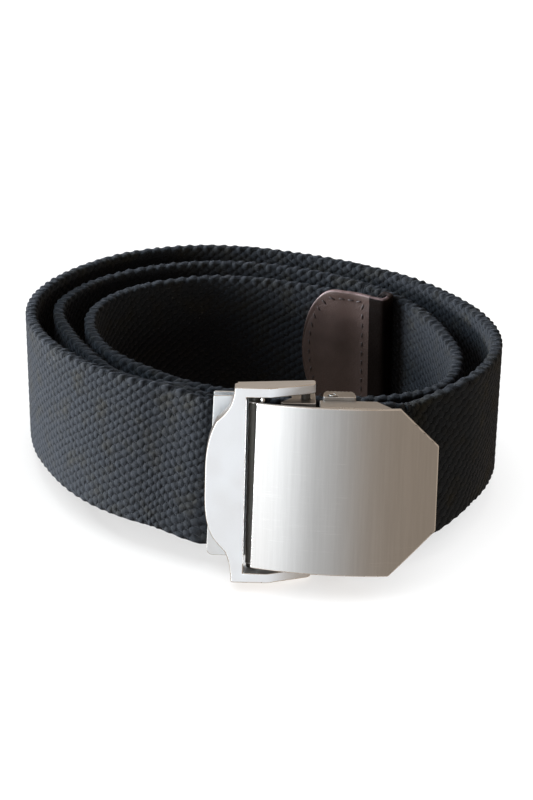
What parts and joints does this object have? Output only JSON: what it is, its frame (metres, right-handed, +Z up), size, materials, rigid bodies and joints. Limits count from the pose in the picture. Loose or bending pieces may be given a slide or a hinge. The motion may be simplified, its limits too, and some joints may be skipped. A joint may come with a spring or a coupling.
{
  "type": "work belt",
  "caption": "Black woven web work belt with a metal flip buckle and a leather tip, coiled and standing on its edge.",
  "frame": {"origin": "on the floor, under the middle of the belt's bounding box", "axes": "+X to the right as seen from the front, +Y away from the buckle's side, +Z up from the floor"},
  "size_m": [0.1352, 0.146, 0.0544],
  "materials": {
    "webbing": "matte woven black webbing",
    "leather": "smooth dark brown leather",
    "brushed_plate": "brushed satin metal",
    "cast_frame": "pearl satin plated metal",
    "inner_metal": "satin plated metal"
  },
  "bodies": {
    "root": {"strap": "webbing", "tip_tab": "leather", "face_plate": "brushed_plate", "bracket": "cast_frame", "end_clip": "cast_frame", "toothed_cam": "inner_metal", "cam_pin": "inner_metal", "pivot_pin_top": "inner_metal", "pivot_pin_bottom": "inner_metal", "hinge_bar": "inner_metal", "back_frame": "inner_metal"}
  },
  "joints": []
}
